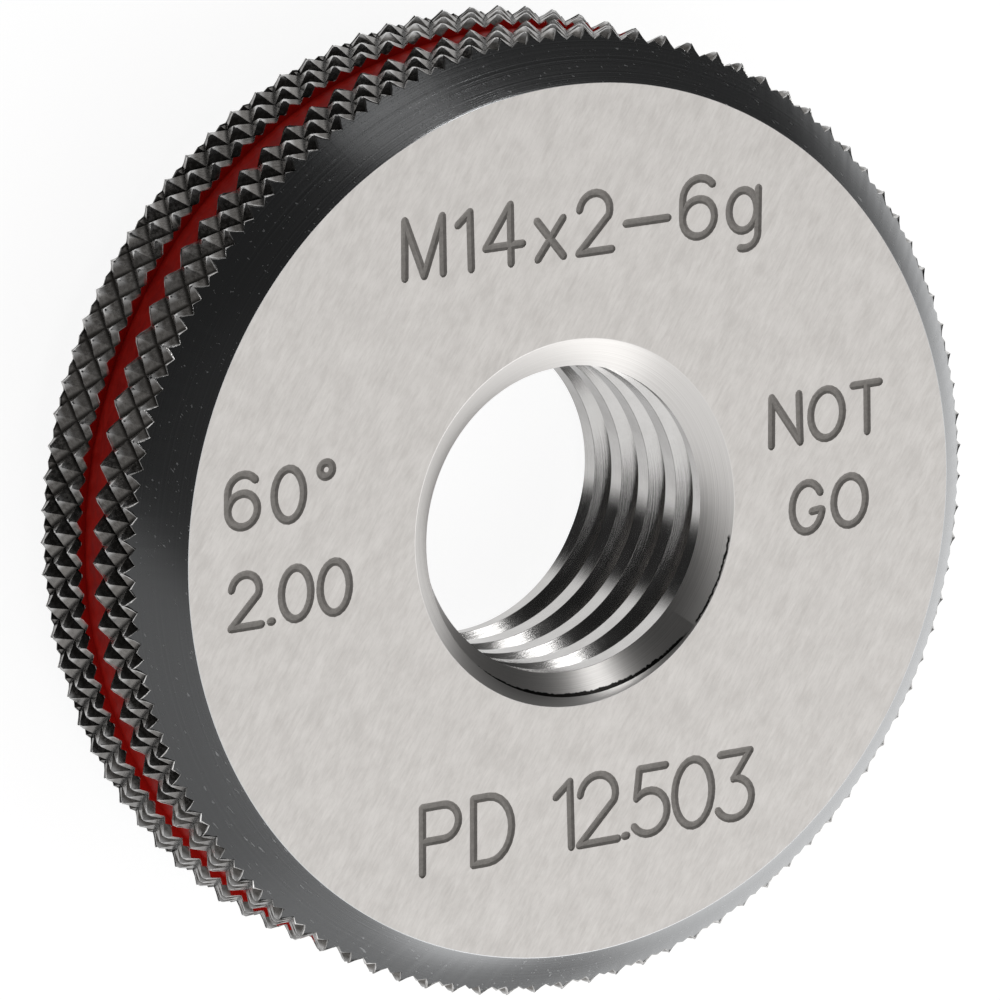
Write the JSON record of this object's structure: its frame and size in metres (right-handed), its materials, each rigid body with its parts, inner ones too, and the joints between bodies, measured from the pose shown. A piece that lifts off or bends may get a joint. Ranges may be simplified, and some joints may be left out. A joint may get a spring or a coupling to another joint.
{
  "type": "thread ring gauge",
  "caption": "Solid NOT GO thread ring gauge for an M14 x 2 external thread, with a diamond-knurled rim and a red marking groove.",
  "frame": {"origin": "centre of the plain back face, on which the ring lies", "axes": "+Z along the thread axis, out of the marked face; +X to the right of the markings as they are read, +Y to their top"},
  "size_m": [0.038, 0.038, 0.01],
  "materials": {
    "gauge_steel": "ground faces, blackened rim"
  },
  "bodies": {
    "root": {"gauge_ring": "gauge_steel"}
  },
  "joints": []
}
